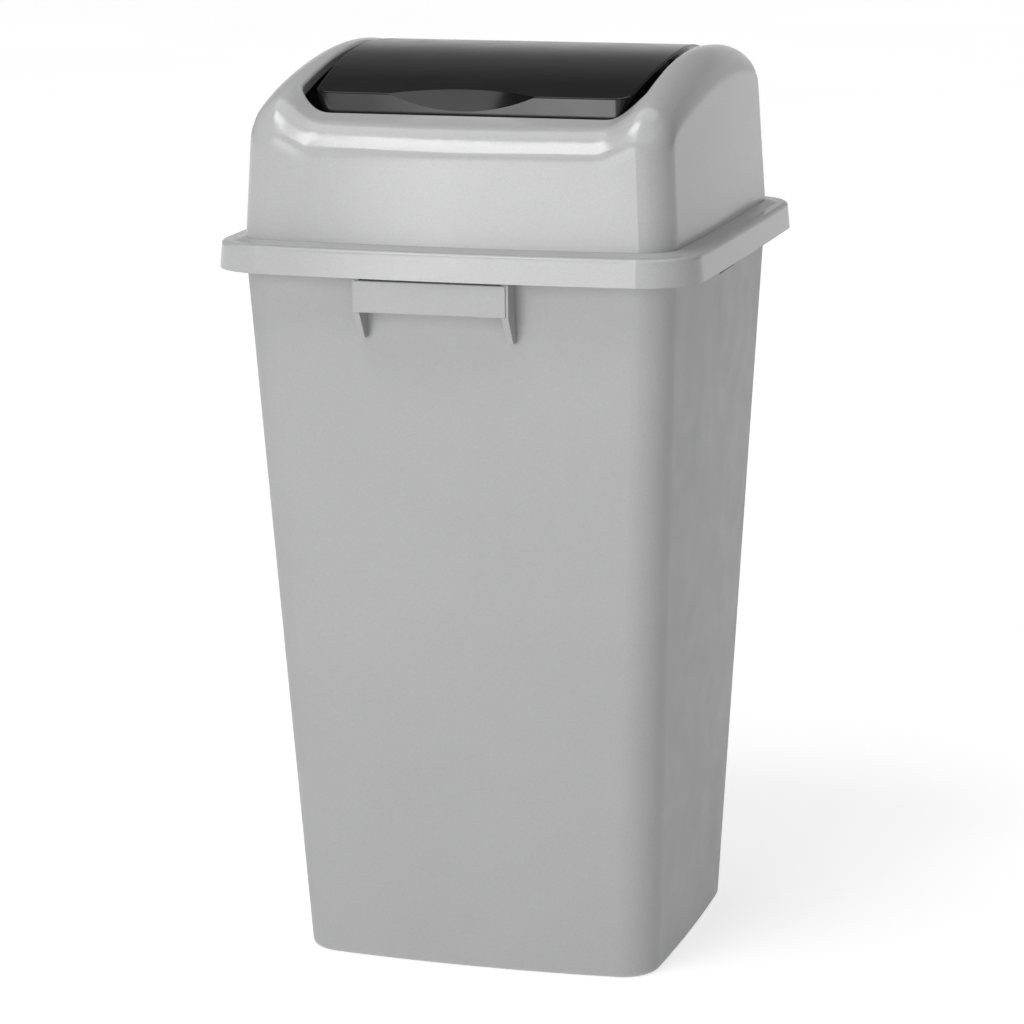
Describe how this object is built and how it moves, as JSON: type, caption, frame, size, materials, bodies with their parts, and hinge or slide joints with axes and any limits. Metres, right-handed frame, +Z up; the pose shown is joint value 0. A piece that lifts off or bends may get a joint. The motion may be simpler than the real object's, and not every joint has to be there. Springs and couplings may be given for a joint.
{
  "type": "swing-lid trash can",
  "caption": "Tall tapered kitchen waste bin with a lift-off domed lid and a gravity-return swing flap, carrying handles front and rear.",
  "frame": {"origin": "on the floor, at the centre of the bin's outline", "axes": "+Z up, -Y is the front that faces the user, +X to the viewer's right"},
  "size_m": [0.3728, 0.3728, 0.6951],
  "materials": {
    "bin_plastic": "matte moulded polypropylene, mid grey",
    "lid_plastic": "satin moulded polypropylene, light grey",
    "flap_plastic": "semi-gloss charcoal plastic"
  },
  "bodies": {
    "bin": {"bin_body": "bin_plastic", "front_handle": "bin_plastic", "rear_handle": "bin_plastic"},
    "lid": {"lid_hood": "lid_plastic"},
    "flap": {"swing_flap": "flap_plastic"}
  },
  "joints": [
    {"name": "lid_lift", "type": "slide", "parent": "bin", "child": "lid", "axis": [0, 0, 1], "range_m": [0, 0.06]},
    {"name": "flap_swing", "type": "hinge", "parent": "lid", "child": "flap", "pos_m": [0, 0.00373, 0.6863], "axis": [1, 0, 0], "range_deg": [-80, 80]}
  ]
}
